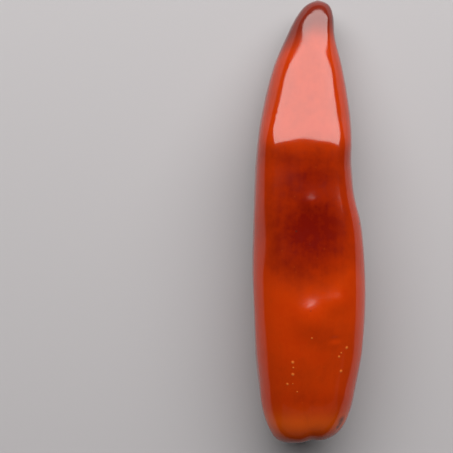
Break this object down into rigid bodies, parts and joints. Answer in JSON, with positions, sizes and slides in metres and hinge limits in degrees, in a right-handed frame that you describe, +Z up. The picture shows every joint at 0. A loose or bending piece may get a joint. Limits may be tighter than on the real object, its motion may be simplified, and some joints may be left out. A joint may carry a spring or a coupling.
{
  "type": "bell pepper",
  "caption": "Long tapered orange sweet pepper lying on its side, with a lobed stem end, a green calyx in its hollow and a short cut stem.",
  "frame": {"origin": "on the surface the pepper rests on, under the middle of its bounding box", "axes": "+Y along the fruit from the stem end to the tip, +Z up from the resting surface, +X to the right when the tip points away"},
  "size_m": [0.0532, 0.2104, 0.0469],
  "materials": {
    "pepper_skin": "smooth waxy skin, deep orange with redder dents and paler flecks",
    "calyx_green": "leathery green with dried brown edges",
    "stem_green": "ribbed green stalk with a pale dried cut end"
  },
  "bodies": {
    "root": {"fruit": "pepper_skin", "calyx": "calyx_green", "stem": "stem_green"}
  },
  "joints": []
}
